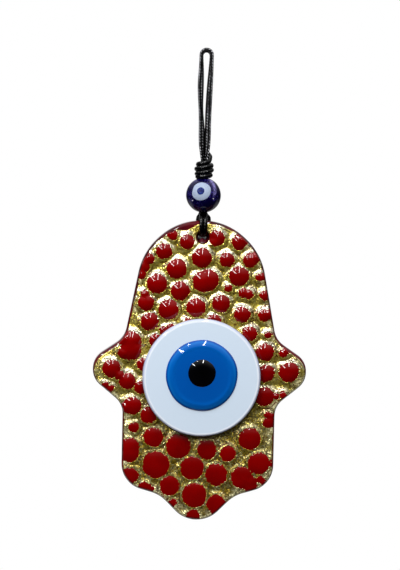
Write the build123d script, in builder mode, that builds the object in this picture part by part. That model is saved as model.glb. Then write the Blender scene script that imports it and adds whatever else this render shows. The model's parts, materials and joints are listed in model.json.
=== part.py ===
from build123d import *
import math
import os

os.makedirs("parts", exist_ok=True)

# Cord, knot and hanging loop
CORD_DIAMETER = 1.15
STRAND_CLEARANCE = 0.10
LOOP_LENGTH = 36.0
LOOP_BEND_RADIUS = 1.95
LOOP_STRAIGHT = 4.3
KNOT_TURNS = 3
KNOT_TURN_GAP = 0.66
KNOT_STRAND_GAP = 0.45
KNOT_END_ANGLE = -40.0
TWIST_GAP = 0.2
SEAT_GAP = 0.15

# Bead
BEAD_DIAMETER = 12.2
BORE_CLEARANCE = 0.12
BEAD_EYE_COUNT = 2
BEAD_EYE_DIAMETER = 7.1
BEAD_PUPIL_DIAMETER = 2.7
BEAD_EYE_TURN = -13.0
BEAD_EYE_LIFT = 17.0
INLAY_EDGE = 0.5

# Hand, seen from the front, with depths measured down from its top
NECK_LENGTH = 2.7
HAND_HEIGHT = 105.25
THUMB_SPAN = 74.6
PALM_WIDTH = 53.3
DOME_FLAT_WIDTH = 16.2
SHOULDER_WIDTH = 41.2
SHOULDER_DEPTH = 10.8
FLANK_WIDTH = 53.0
FLANK_DEPTH = 41.3
THUMB_DEPTH = 52.3
THUMB_TIP_LENGTH = 7.25
CROTCH_DEPTH = 64.7
HEEL_RISE = 12.6
TIP_BASE_WIDTH = 26.1
TIP_RISE = 8.7
TIP_WIDTH = 8.8
DOME_RADIUS = 22.3
SHOULDER_RADIUS = 22.3
FLANK_RADIUS = 8.0
THUMB_RADIUS = 7.0
CROTCH_RADIUS = 7.0
HEEL_RADIUS = 9.8
TIP_BASE_RADIUS = 12.0
TIP_RADIUS = 10.5
PLATE_THICKNESS = 4.5
FRONT_ROUND = 1.3
BACK_ROUND = 0.8

# Hole that the cord passes through
HOLE_DEPTH = 5.65
HOLE_MOUTH_DIAMETER = 4.6
HOLE_TAPER_LENGTH = 2.6
HOLE_CLEARANCE = 0.08
STRAND_LIFT = 0.5

# Slings from the bead to the hand, with the sideways spread of their strands at the plate's top
CORE_RECESS = 0.3
SLING_DROP = 0.75
SLING_GAP = 0.2
SLING_FRONT_SPREAD = 0.22
SLING_BACK_SPREAD = 1.05
SLING_FRONT_LIFT = 0.6
SLING_BACK_LIFT = 0.9
SLING_ROUND = 1.4

# Gold leaf on the front
RIM_WIDTH = 0.2
LEAF_THICKNESS = 0.12
LEAF_MARGIN = 0.1

# Red glass drops: rise, width of the crown and its rounding as shares of a drop's radius
DROP_RISE = 0.24
DROP_SHOULDER = 0.6
DROP_CROWN = 3.0
NEAR_DROP_RADIUS = 2.7

# Places of the drops as (sideways place, depth under a line near the top), listed under their radius
DROP_LINE = 0.75
DROPS = {
    4.5: [(-14.6, 85.0)],
    4.1: [(-6.9, 78.3), (-1.0, 95.6)],
    3.9: [(-1.9, 86.0)],
    3.7: [(0.5, 20.3), (2.1, 19.8)],
    3.6: [(6.5, 88.2), (15.5, 89.1), (21.4, 84.0), (18.0, 75.4), (-24.2, 44.5)],
    3.4: [(-8.9, 16.1), (-15.6, 21.4), (12.9, 18.3), (-11.4, 30.3), (31.2, 51.6), (-0.2, 12.2)],
    3.2: [(-7.5, 23.8), (-1.9, 29.5), (22.8, 60.4), (-15.7, 75.3), (3.1, 79.4), (-9.7, 92.4)],
    3.0: [(-17.9, 34.7), (6.8, 28.0), (-23.9, 41.3), (-30.8, 51.3), (-23.3, 64.3), (-23.9, 79.0),
          (-23.9, 80.9), (22.6, 44.7), (23.0, 52.2), (6.6, 98.6)],
    2.7: [(4.8, 5.2), (-19.2, 28.1), (14.3, 31.7), (-25.3, 55.6), (-17.6, 67.6), (-13.4, 10.1)],
    2.5: [(-5.5, 6.6), (12.7, 6.6), (8.5, 12.7), (16.6, 12.7), (17.1, 38.3), (10.5, 80.7),
          (-23.4, 88.9), (18.2, 91.0), (4.6, 34.3)],
    2.1: [(22.1, 31.8), (-15.8, 41.2), (-19.8, 49.8), (-26.4, 45.7), (-20.5, 57.8), (-18.4, 93.4),
          (-1.4, 103.2)],
    1.9: [(-18.7, 12.9), (-20.2, 15.4), (-21.5, 18.1)],
    1.6: [(-10.4, 4.6), (14.6, 24.2), (16.4, 24.5), (22.0, 24.9),
          (-22.6, 72.0), (-28.1, 53.6), (-4.6, 34.9), (24.3, 69.6)],
    1.3: [(20.1, 18.6), (9.3, 22.5), (-19.8, 25.1), (29.2, 45.2), (-13.0, 37.7), (-10.7, 36.7)],
    1.0: [(-32.6, 57.1), (-30.9, 58.2), (29.2, 59.7), (26.9, 60.2), (24.0, 66.8), (23.4, 38.7),
          (25.3, 67.3), (-16.2, 93.8), (-8.3, 98.2), (22.1, 89.8)],
}

# Eye built up in the middle of the hand
EYE_SIDE = 0.47
EYE_DEPTH = 54.5
PAD_THICKNESS = 1.15
PAD_INSET = 1.8
WHITE_DIAMETER = 41.2
WHITE_THICKNESS = 2.9
WHITE_ROUND = 1.2
BLUE_DIAMETER = 24.9
BLUE_THICKNESS = 1.0
BLUE_LIFT = 0.95
PUPIL_DIAMETER = 9.9
PUPIL_THICKNESS = 1.0
PUPIL_LIFT = 1.8
DISC_ROUND = 0.8

# Shares of a run that a rounded corner may take, in the outline and in a cord, and points on the winding
OUTLINE_CORNER_SHARE = 0.495
CORD_CORNER_SHARE = 0.45
KNOT_SAMPLES = 600

# Levels and places that follow from the sizes above
CORD_RADIUS = CORD_DIAMETER / 2
STRAND = (CORD_DIAMETER + STRAND_CLEARANCE) / 2
BUNDLE_RADIUS = STRAND * math.sqrt(2) + CORD_RADIUS
BORE_RADIUS = BUNDLE_RADIUS + BORE_CLEARANCE
BEAD_RADIUS = BEAD_DIAMETER / 2
BEAD_SEAT = math.sqrt(BEAD_RADIUS ** 2 - BORE_RADIUS ** 2)
KNOT_TOP = -LOOP_LENGTH
KNOT_HEIGHT = KNOT_TURNS * (CORD_DIAMETER + KNOT_TURN_GAP) + CORD_DIAMETER
KNOT_BOTTOM = KNOT_TOP - KNOT_HEIGHT
BEAD_Z = KNOT_BOTTOM - SEAT_GAP - BEAD_SEAT
NECK_TOP = BEAD_Z - BEAD_RADIUS
HAND_TOP = NECK_TOP - NECK_LENGTH
HOLE_Z = HAND_TOP - HOLE_DEPTH
HOLE_RADIUS = math.hypot(STRAND, STRAND_LIFT) + CORD_RADIUS + HOLE_CLEARANCE
HALF_PLATE = PLATE_THICKNESS / 2
EYE_Z = HAND_TOP - EYE_DEPTH
FRONT = Plane.XZ.offset(HALF_PLATE)
LEAF_TOP = Plane.XZ.offset(HALF_PLATE + LEAF_THICKNESS)
WHITE_BACK = Plane.XZ.offset(HALF_PLATE + LEAF_THICKNESS + PAD_THICKNESS)
BLUE_BACK = WHITE_BACK.offset(WHITE_THICKNESS)
PUPIL_BACK = BLUE_BACK.offset(BLUE_THICKNESS)
PAD_RADIUS = WHITE_DIAMETER / 2 - PAD_INSET


def rounding(before, corner, after, wanted, share):
    """Radius of one corner, limited by its share of the two runs beside it."""
    arriving = Vector(*corner) - Vector(*before)
    leaving = Vector(*after) - Vector(*corner)
    half_turn = math.radians(arriving.get_angle(leaving) / 2)
    return min(wanted, share * min(arriving.length, leaving.length) / math.tan(half_turn))


def route_radii(points, wanted):
    """One radius for each inner point of a cord's route."""
    spans = zip(points, points[1:], points[2:])
    return [rounding(a, b, c, wanted, CORD_CORNER_SHARE) for a, b, c in spans]


def report_tube(name, tube, path, radii):
    """Prints a cord's radii and compares its volume with its section times its length."""
    ideal = math.pi * CORD_RADIUS ** 2 * path.length
    listed = " ".join(f"{radius:.1f}" for radius in radii)
    print(f"{name}: length {path.length:.1f} mm, volume ratio {tube.volume / ideal:.4f}, radii {listed}")


# Outline of the hand from its right half, mirrored to the left
half_corners = [
    (DOME_FLAT_WIDTH / 2, 0, DOME_RADIUS),
    (SHOULDER_WIDTH / 2, SHOULDER_DEPTH, SHOULDER_RADIUS),
    (FLANK_WIDTH / 2, FLANK_DEPTH, FLANK_RADIUS),
    (THUMB_SPAN / 2, THUMB_DEPTH - THUMB_TIP_LENGTH / 2, THUMB_RADIUS),
    (THUMB_SPAN / 2, THUMB_DEPTH + THUMB_TIP_LENGTH / 2, THUMB_RADIUS),
    (PALM_WIDTH / 2, CROTCH_DEPTH, CROTCH_RADIUS),
    (PALM_WIDTH / 2, HAND_HEIGHT - HEEL_RISE, HEEL_RADIUS),
    (TIP_BASE_WIDTH / 2, HAND_HEIGHT - TIP_RISE, TIP_BASE_RADIUS),
    (TIP_WIDTH / 2, HAND_HEIGHT, TIP_RADIUS),
]
corners = half_corners + [(-x, depth, radius) for x, depth, radius in reversed(half_corners)]
outline_points = [(x, HAND_TOP - depth) for x, depth, radius in corners]
outline_radii = []
for index, corner in enumerate(corners):
    neighbours = outline_points[index - 1], outline_points[(index + 1) % len(corners)]
    outline_radii.append(rounding(neighbours[0], outline_points[index], neighbours[1], corner[2],
                                  OUTLINE_CORNER_SHARE))

with BuildSketch() as hand_outline:
    with BuildLine():
        FilletPolyline(*outline_points, radius=outline_radii, close=True)
    make_face()

# Area inside the rim, cut away round the hole and where the cord lies above it
with BuildSketch() as leaf_area:
    add(hand_outline.sketch)
    offset(amount=-(FRONT_ROUND + RIM_WIDTH), mode=Mode.REPLACE)
    with Locations((0, HOLE_Z)):
        Circle(HOLE_MOUTH_DIAMETER / 2 + LEAF_MARGIN, mode=Mode.SUBTRACT)
        Rectangle(4 * STRAND, HOLE_DEPTH, align=(Align.CENTER, Align.MIN), mode=Mode.SUBTRACT)

# Hand plate of red glass
with BuildPart() as hand_plate:
    with BuildSketch(Plane.XZ):
        add(hand_outline.sketch)
    extrude(amount=HALF_PLATE, both=True)
    fillet(hand_plate.faces().sort_by(Axis.Y)[0].edges(), FRONT_ROUND)
    fillet(hand_plate.faces().sort_by(Axis.Y)[-1].edges(), BACK_ROUND)
    with BuildSketch(FRONT):
        with Locations((0, HOLE_Z)):
            Circle(HOLE_MOUTH_DIAMETER / 2)
    with BuildSketch(FRONT.offset(-HOLE_TAPER_LENGTH)):
        with Locations((0, HOLE_Z)):
            Circle(HOLE_RADIUS)
    loft(mode=Mode.SUBTRACT)
    with BuildSketch(Plane.XZ):
        with Locations((0, HOLE_Z)):
            Circle(HOLE_RADIUS)
    extrude(amount=PLATE_THICKNESS, both=True, mode=Mode.SUBTRACT)

# Gold leaf fired onto the front of the plate
with BuildPart() as gold_leaf:
    with BuildSketch(FRONT):
        add(leaf_area.sketch)
    extrude(amount=LEAF_THICKNESS)

# Red glass drops on the leaf, kept inside its area and clear of the eye's pad
def glass_drop(radius):
    """One drop facing the front: a flat crown with rounder shoulders, its base at the origin."""
    slope = math.asin(DROP_SHOULDER / DROP_CROWN)
    shoulder = DROP_RISE - DROP_CROWN * (1 - math.cos(slope))
    middle = DROP_RISE - DROP_CROWN * (1 - math.cos(slope / 2))
    with BuildPart() as drop:
        with BuildSketch():
            with BuildLine():
                Line((0, -DROP_RISE * radius), (0, 0))
                Line((0, 0), (radius, 0))
                ThreePointArc((0, -DROP_RISE * radius),
                              (DROP_CROWN * math.sin(slope / 2) * radius, -middle * radius),
                              (DROP_SHOULDER * radius, -shoulder * radius))
                TangentArc((DROP_SHOULDER * radius, -shoulder * radius), (radius, 0),
                           tangent=(math.cos(slope), math.sin(slope)))
            make_face()
        revolve(axis=Axis.Y)
    return drop.part


with BuildPart() as drop_room:
    with BuildSketch(LEAF_TOP):
        add(leaf_area.sketch)
        with Locations((EYE_SIDE, EYE_Z)):
            Circle(PAD_RADIUS + LEAF_MARGIN, mode=Mode.SUBTRACT)
    extrude(amount=PAD_THICKNESS)

drop_shapes = {radius: glass_drop(radius) for radius in DROPS}

with BuildPart() as glass_drops:
    for radius, places in DROPS.items():
        with Locations(*[(x, LEAF_TOP.origin.Y, HAND_TOP - DROP_LINE - depth) for x, depth in places]):
            add(drop_shapes[radius])
    add(drop_room.part, mode=Mode.INTERSECT)

# Eye: pad, white disc, blue disc and black pupil
with BuildPart() as eye_pad:
    with BuildSketch(LEAF_TOP):
        with Locations((EYE_SIDE, EYE_Z)):
            Circle(PAD_RADIUS)
    extrude(amount=PAD_THICKNESS)

with BuildPart() as eye_white:
    with BuildSketch(WHITE_BACK):
        with Locations((EYE_SIDE, EYE_Z)):
            Circle(WHITE_DIAMETER / 2)
    extrude(amount=WHITE_THICKNESS)
    fillet(eye_white.faces().sort_by(Axis.Y)[0].edges(), WHITE_ROUND)
    fillet(eye_white.faces().sort_by(Axis.Y)[-1].edges(), WHITE_ROUND / 2)

with BuildPart() as eye_blue:
    with BuildSketch(BLUE_BACK):
        with Locations((EYE_SIDE, EYE_Z + BLUE_LIFT)):
            Circle(BLUE_DIAMETER / 2)
    extrude(amount=BLUE_THICKNESS)
    fillet(eye_blue.faces().sort_by(Axis.Y)[0].edges(), DISC_ROUND * BLUE_THICKNESS)

with BuildPart() as eye_pupil:
    with BuildSketch(PUPIL_BACK):
        with Locations((EYE_SIDE, EYE_Z + PUPIL_LIFT)):
            Circle(PUPIL_DIAMETER / 2)
    extrude(amount=PUPIL_THICKNESS)
    fillet(eye_pupil.faces().sort_by(Axis.Y)[0].edges(), DISC_ROUND * PUPIL_THICKNESS)

# Bead with eyes let into its surface
eye_seats = []
for step in range(BEAD_EYE_COUNT):
    around = math.radians(BEAD_EYE_TURN + 360 * step / BEAD_EYE_COUNT)
    lift = math.radians(BEAD_EYE_LIFT)
    out = Vector(math.sin(around) * math.cos(lift), -math.cos(around) * math.cos(lift), math.sin(lift))
    bed = math.sqrt(BEAD_RADIUS ** 2 - BEAD_EYE_DIAMETER ** 2 / 4) - INLAY_EDGE
    eye_seats.append(Plane(origin=Vector(0, 0, BEAD_Z) + out * bed, z_dir=out).location)
pupil_bed = math.sqrt(BEAD_RADIUS ** 2 - BEAD_PUPIL_DIAMETER ** 2 / 4) - INLAY_EDGE
pupil_seats = [seat * Location((0, 0, pupil_bed - bed)) for seat in eye_seats]

with BuildPart() as bead_body:
    with Locations((0, 0, BEAD_Z)):
        Sphere(BEAD_RADIUS)
        Cylinder(BORE_RADIUS, 2 * BEAD_DIAMETER, mode=Mode.SUBTRACT)
    with Locations(*eye_seats):
        Cylinder(BEAD_EYE_DIAMETER / 2, BEAD_RADIUS, align=(Align.CENTER, Align.CENTER, Align.MIN),
                 mode=Mode.SUBTRACT)

with BuildPart() as bead_eye_whites:
    with Locations(*eye_seats):
        Cylinder(BEAD_EYE_DIAMETER / 2, BEAD_RADIUS, align=(Align.CENTER, Align.CENTER, Align.MIN))
    with Locations(*pupil_seats):
        Cylinder(BEAD_PUPIL_DIAMETER / 2, BEAD_RADIUS, align=(Align.CENTER, Align.CENTER, Align.MIN),
                 mode=Mode.SUBTRACT)
    with Locations((0, 0, BEAD_Z)):
        Sphere(BEAD_RADIUS, mode=Mode.INTERSECT)

with BuildPart() as bead_eye_pupils:
    with Locations(*pupil_seats):
        Cylinder(BEAD_PUPIL_DIAMETER / 2, BEAD_RADIUS, align=(Align.CENTER, Align.CENTER, Align.MIN))
    with Locations((0, 0, BEAD_Z)):
        Sphere(BEAD_RADIUS, mode=Mode.INTERSECT)

# Hanging loop: two rounds of the cord, front and back, from the knot up over the hook
# The inner points of its legs, as (sideways place, share of the leg's height)
LEG_END = KNOT_TOP + TWIST_GAP
FRONT_LEFT_LEG = [(-1.73, 0.15), (-1.62, 0.42), (-2.08, 0.7)]
FRONT_RIGHT_LEG = [(1.72, 0.15), (1.52, 0.4), (1.9, 0.69)]
BACK_LEFT_LEG = [(-0.62, 0.14), (-0.72, 0.3), (-1.42, 0.46), (-1.12, 0.72)]
BACK_RIGHT_LEG = [(0.62, 0.14), (0.52, 0.3), (0.36, 0.46), (1.05, 0.72)]


def leg_route(inner_points, side):
    """A leg's points, from its strand's place at the knot to the start of the loop's bend."""
    climbing = [(x, LEG_END * (1 - share)) for x, share in [(side * STRAND, 0.0), *inner_points]]
    bend = side * LOOP_BEND_RADIUS
    return [*climbing, (bend, -LOOP_STRAIGHT), (bend, 0.0)]


front_legs = leg_route(FRONT_LEFT_LEG, -1), leg_route(FRONT_RIGHT_LEG, 1)
back_legs = leg_route(BACK_LEFT_LEG, -1), leg_route(BACK_RIGHT_LEG, 1)

with BuildPart() as loop_cord_front:
    front_radii = [route_radii(leg, math.inf) for leg in front_legs]
    with BuildLine(Plane.XZ.offset(STRAND)) as front_path:
        FilletPolyline(*front_legs[0], radius=front_radii[0])
        ThreePointArc((-LOOP_BEND_RADIUS, 0), (0, LOOP_BEND_RADIUS), (LOOP_BEND_RADIUS, 0))
        FilletPolyline(*front_legs[1][::-1], radius=front_radii[1][::-1])
    front_wire = front_path.wire()
    with BuildSketch(Plane(origin=front_wire @ 0, z_dir=front_wire % 0)):
        Circle(CORD_RADIUS)
    sweep(path=front_wire)

with BuildPart() as loop_cord_back:
    back_radii = [route_radii(leg, math.inf) for leg in back_legs]
    with BuildLine(Plane.XZ.offset(-STRAND)) as back_path:
        FilletPolyline(*back_legs[0], radius=back_radii[0])
        ThreePointArc((-LOOP_BEND_RADIUS, 0), (0, LOOP_BEND_RADIUS), (LOOP_BEND_RADIUS, 0))
        FilletPolyline(*back_legs[1][::-1], radius=back_radii[1][::-1])
    back_wire = back_path.wire()
    with BuildSketch(Plane(origin=back_wire @ 0, z_dir=back_wire % 0)):
        Circle(CORD_RADIUS)
    sweep(path=back_wire)

# Knot: the cord wound round the strands, one unbroken tube of quarter-turn arcs with straight ends
WIND_RADIUS = BUNDLE_RADIUS + KNOT_STRAND_GAP + CORD_RADIUS
QUARTERS = 4 * KNOT_TURNS
QUARTER_RISE = (CORD_DIAMETER + KNOT_TURN_GAP) / 4
WIND_BASE = KNOT_BOTTOM + CORD_RADIUS


def wind_point(quarter):
    """A point of the winding, counted in quarter turns from its lower end."""
    angle = math.radians(KNOT_END_ANGLE + 90 * (quarter - QUARTERS))
    height = WIND_BASE + QUARTER_RISE * quarter
    return Vector(WIND_RADIUS * math.cos(angle), WIND_RADIUS * math.sin(angle), height)


first_angle = math.radians(KNOT_END_ANGLE - 90 * QUARTERS)
climb = QUARTER_RISE / (2 * WIND_RADIUS)
wind_start = Vector(-math.sin(first_angle), math.cos(first_angle), climb).normalized()

with BuildPart() as stopper_knot:
    with BuildLine() as knot_path:
        turn = Line(wind_point(0) - wind_start * CORD_DIAMETER, wind_point(0))
        for quarter in range(QUARTERS):
            turn = TangentArc(turn @ 1, wind_point(quarter + 1), tangent=turn % 1)
        Line(turn @ 1, turn @ 1 + (turn % 1) * CORD_DIAMETER)
    knot_wire = knot_path.wire()
    with BuildSketch(Plane(origin=knot_wire @ 0, z_dir=knot_wire % 0)):
        Circle(CORD_RADIUS)
    sweep(path=knot_wire)

# Strands inside the knot and the bead
with BuildPart() as core_strands:
    core_end = NECK_TOP + CORE_RECESS
    with BuildSketch(Plane.XY.offset(core_end)):
        with GridLocations(2 * STRAND, 2 * STRAND, 2, 2):
            Circle(CORD_RADIUS)
    extrude(amount=KNOT_TOP - core_end)

# Slings: each strand comes out of the bead, goes through the hand's hole and up again at the back
SLING_TOP = NECK_TOP - SLING_DROP
SLING_FRONT = HALF_PLATE + LEAF_THICKNESS + DROP_RISE * NEAR_DROP_RADIUS + SLING_GAP + CORD_RADIUS
SLING_BACK = HALF_PLATE + CORD_DIAMETER
SLING_HOLE_Z = HOLE_Z + STRAND_LIFT
sling_route = [
    (STRAND, -STRAND, SLING_TOP),
    (STRAND + SLING_FRONT_SPREAD, -SLING_FRONT, HAND_TOP + SLING_FRONT_LIFT),
    (STRAND, -SLING_FRONT, SLING_HOLE_Z),
    (STRAND, SLING_BACK, SLING_HOLE_Z),
    (STRAND + SLING_BACK_SPREAD, SLING_BACK, HAND_TOP + SLING_BACK_LIFT),
    (STRAND, STRAND, SLING_TOP),
]
sling_wanted = [math.inf, SLING_ROUND, CORD_DIAMETER, math.inf]
sling_spans = zip(sling_route, sling_route[1:], sling_route[2:], sling_wanted)
sling_radii = [rounding(a, b, c, wanted, CORD_CORNER_SHARE) for a, b, c, wanted in sling_spans]

with BuildPart() as sling_cord_right:
    with BuildLine() as sling_path:
        FilletPolyline(*sling_route, radius=sling_radii)
    sling_wire = sling_path.wire()
    with BuildSketch(Plane(origin=sling_wire @ 0, z_dir=sling_wire % 0)):
        Circle(CORD_RADIUS)
    sweep(path=sling_wire)

with BuildPart() as sling_cord_left:
    add(mirror(sling_cord_right.part, about=Plane.YZ, mode=Mode.PRIVATE))

# Least gap of the winding to itself, measured on points
knot_points = [knot_wire @ (step / KNOT_SAMPLES) for step in range(KNOT_SAMPLES + 1)]
knot_step = knot_wire.length / KNOT_SAMPLES
apart = int(3 * CORD_DIAMETER / knot_step)
knot_gap = min((a - b).length for i, a in enumerate(knot_points) for b in knot_points[i + apart:])
print(f"stopper knot: {KNOT_TURNS} turns, least gap to itself {knot_gap - CORD_DIAMETER:.2f} mm")
report_tube("loop_cord_front", loop_cord_front.part, front_wire, sum(front_radii, [LOOP_BEND_RADIUS]))
report_tube("loop_cord_back", loop_cord_back.part, back_wire, sum(back_radii, [LOOP_BEND_RADIUS]))
report_tube("stopper_knot", stopper_knot.part, knot_wire, [WIND_RADIUS])
report_tube("sling_cord", sling_cord_right.part, sling_wire, sling_radii)

# Names and files
nodes = {
    "hand_plate": hand_plate,
    "gold_leaf": gold_leaf,
    "glass_drops": glass_drops,
    "eye_pad": eye_pad,
    "eye_white": eye_white,
    "eye_blue": eye_blue,
    "eye_pupil": eye_pupil,
    "bead_body": bead_body,
    "bead_eye_whites": bead_eye_whites,
    "bead_eye_pupils": bead_eye_pupils,
    "loop_cord_front": loop_cord_front,
    "loop_cord_back": loop_cord_back,
    "stopper_knot": stopper_knot,
    "core_strands": core_strands,
    "sling_cord_left": sling_cord_left,
    "sling_cord_right": sling_cord_right,
}
for name, node in nodes.items():
    node.part.label = name
    export_step(node.part, f"parts/{name}.step")
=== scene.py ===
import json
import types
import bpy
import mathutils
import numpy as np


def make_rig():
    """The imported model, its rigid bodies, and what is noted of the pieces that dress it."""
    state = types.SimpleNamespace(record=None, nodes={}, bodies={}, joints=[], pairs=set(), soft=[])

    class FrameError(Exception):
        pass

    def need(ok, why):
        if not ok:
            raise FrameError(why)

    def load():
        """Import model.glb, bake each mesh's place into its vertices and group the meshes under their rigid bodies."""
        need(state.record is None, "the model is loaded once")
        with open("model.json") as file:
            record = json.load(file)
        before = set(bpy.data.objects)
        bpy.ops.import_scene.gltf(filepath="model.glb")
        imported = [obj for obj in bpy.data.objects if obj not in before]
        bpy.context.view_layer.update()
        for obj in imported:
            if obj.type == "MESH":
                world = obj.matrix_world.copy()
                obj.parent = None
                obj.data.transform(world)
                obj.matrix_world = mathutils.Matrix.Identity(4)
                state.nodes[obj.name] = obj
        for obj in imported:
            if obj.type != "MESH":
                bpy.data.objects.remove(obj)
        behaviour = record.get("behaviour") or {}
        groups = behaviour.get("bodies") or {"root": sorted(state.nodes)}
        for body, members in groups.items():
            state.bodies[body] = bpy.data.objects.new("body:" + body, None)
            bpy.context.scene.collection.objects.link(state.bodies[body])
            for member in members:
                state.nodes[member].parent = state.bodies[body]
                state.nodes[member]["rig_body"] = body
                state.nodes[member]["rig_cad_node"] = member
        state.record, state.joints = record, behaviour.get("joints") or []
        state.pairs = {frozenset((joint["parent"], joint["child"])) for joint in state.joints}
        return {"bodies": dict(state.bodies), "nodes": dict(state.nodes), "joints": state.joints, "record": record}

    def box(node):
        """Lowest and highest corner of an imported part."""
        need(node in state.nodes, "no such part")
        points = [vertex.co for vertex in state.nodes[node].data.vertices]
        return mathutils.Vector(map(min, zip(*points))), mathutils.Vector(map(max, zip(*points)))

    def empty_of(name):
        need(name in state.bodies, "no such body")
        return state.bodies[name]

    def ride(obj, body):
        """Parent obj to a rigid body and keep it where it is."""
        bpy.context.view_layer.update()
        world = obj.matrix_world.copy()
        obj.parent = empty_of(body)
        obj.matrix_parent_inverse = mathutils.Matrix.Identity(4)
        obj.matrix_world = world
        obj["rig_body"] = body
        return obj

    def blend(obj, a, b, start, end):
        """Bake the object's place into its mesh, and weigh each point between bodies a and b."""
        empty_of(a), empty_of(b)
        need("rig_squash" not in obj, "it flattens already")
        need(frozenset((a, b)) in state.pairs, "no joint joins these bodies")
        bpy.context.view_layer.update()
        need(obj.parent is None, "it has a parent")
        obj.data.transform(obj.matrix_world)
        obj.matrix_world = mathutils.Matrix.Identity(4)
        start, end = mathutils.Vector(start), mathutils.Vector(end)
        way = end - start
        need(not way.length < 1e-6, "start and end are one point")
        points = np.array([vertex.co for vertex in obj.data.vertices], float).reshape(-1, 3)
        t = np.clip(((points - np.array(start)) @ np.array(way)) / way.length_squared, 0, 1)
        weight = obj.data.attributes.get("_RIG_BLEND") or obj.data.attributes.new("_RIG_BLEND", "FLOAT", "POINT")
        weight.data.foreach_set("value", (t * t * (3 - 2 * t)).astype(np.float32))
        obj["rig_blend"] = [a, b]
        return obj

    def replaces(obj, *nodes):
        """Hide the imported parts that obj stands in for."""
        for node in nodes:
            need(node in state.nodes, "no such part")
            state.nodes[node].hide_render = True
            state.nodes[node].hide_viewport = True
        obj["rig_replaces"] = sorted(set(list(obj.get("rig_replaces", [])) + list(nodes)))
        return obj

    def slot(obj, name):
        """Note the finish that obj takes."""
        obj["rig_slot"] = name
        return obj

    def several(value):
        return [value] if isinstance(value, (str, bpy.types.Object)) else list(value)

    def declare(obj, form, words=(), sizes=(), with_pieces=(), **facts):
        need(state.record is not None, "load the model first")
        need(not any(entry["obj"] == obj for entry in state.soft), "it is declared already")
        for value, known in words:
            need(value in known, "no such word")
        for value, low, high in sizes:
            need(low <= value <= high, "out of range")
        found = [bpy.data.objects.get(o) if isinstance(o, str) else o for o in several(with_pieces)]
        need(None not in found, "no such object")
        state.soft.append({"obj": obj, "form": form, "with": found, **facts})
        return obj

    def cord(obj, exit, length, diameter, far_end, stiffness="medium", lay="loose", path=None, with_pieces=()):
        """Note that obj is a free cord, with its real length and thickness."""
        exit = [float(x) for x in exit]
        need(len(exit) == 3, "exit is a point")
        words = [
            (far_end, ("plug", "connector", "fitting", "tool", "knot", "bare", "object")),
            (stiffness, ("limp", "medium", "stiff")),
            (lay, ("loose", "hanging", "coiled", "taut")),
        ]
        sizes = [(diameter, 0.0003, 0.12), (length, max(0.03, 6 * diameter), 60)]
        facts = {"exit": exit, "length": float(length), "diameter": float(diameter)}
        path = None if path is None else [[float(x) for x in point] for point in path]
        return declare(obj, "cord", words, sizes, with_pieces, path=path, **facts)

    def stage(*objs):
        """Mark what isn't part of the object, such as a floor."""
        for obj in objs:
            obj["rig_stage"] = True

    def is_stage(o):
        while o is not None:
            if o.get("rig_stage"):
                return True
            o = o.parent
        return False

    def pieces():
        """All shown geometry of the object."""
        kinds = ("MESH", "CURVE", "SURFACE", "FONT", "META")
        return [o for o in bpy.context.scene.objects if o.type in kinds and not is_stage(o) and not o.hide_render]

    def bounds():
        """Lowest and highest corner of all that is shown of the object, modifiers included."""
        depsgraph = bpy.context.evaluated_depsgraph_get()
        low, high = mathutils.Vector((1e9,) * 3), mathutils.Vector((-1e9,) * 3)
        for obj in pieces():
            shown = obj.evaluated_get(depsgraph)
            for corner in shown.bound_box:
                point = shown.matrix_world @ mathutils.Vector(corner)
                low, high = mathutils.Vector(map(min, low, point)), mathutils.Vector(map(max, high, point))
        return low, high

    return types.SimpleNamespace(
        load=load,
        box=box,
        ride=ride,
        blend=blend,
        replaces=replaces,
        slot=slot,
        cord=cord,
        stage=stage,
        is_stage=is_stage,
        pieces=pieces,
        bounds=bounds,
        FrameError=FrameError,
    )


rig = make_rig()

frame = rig.load()

import json
import math

import bmesh
import bpy
import numpy as np
from mathutils import Matrix, Vector, noise
from mathutils.bvhtree import BVHTree
from mathutils.geometry import delaunay_2d_cdt
from mathutils.kdtree import KDTree

cad_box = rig.bounds()
MM = 0.001


def srgb(red, green, blue):
    """A colour of 0 to 255 as linear light."""
    return tuple((level / 255) ** 2.2 for level in (red, green, blue)) + (1.0,)


def radius_of(node):
    """Half of a node's width."""
    low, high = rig.box(node)
    return (high.x - low.x) / 2


# Sizes of the model that the looks are built on, from its own boxes and joints
hand_low, hand_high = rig.box("hand_plate")
bead_low, bead_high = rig.box("bead_body")
drops_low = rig.box("glass_drops")[0]
leaf_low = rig.box("gold_leaf")[0]
eye_low, eye_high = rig.box("eye_white")
joint_places = {joint["name"]: Vector(joint["pos_m"]) for joint in frame["joints"]}

# Camera, from the photograph's framing
VIEW_DISTANCE = 0.9
VIEW_AZIMUTH = -3.0
VIEW_ELEVATION = 5.0
VIEW_ROLL = 1.3
VIEW_HEIGHT = 198.9 * MM
VIEW_SIDE = -0.5 * MM
VIEW_DEPTH = 22.6 * MM

# Cord
CORD_DIAMETER = 1.15 * MM
CREST_RADIUS = 0.63 * MM
STRAND = 0.625 * MM
LINE_STEPS = 44
STITCH_ROWS = 3
STITCH_TURN = 245.0
STITCH_PITCH = 1.0 * MM
STITCH_SLANT = 1.2
STITCH_DEPTH = 0.16
LOOSE_RELIEF = 1.0
PULLED_RELIEF = 0.5
TUBE_SIDES = 24
ALONG_X = 0.9
TWIST_TOP = -6 * MM

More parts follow.
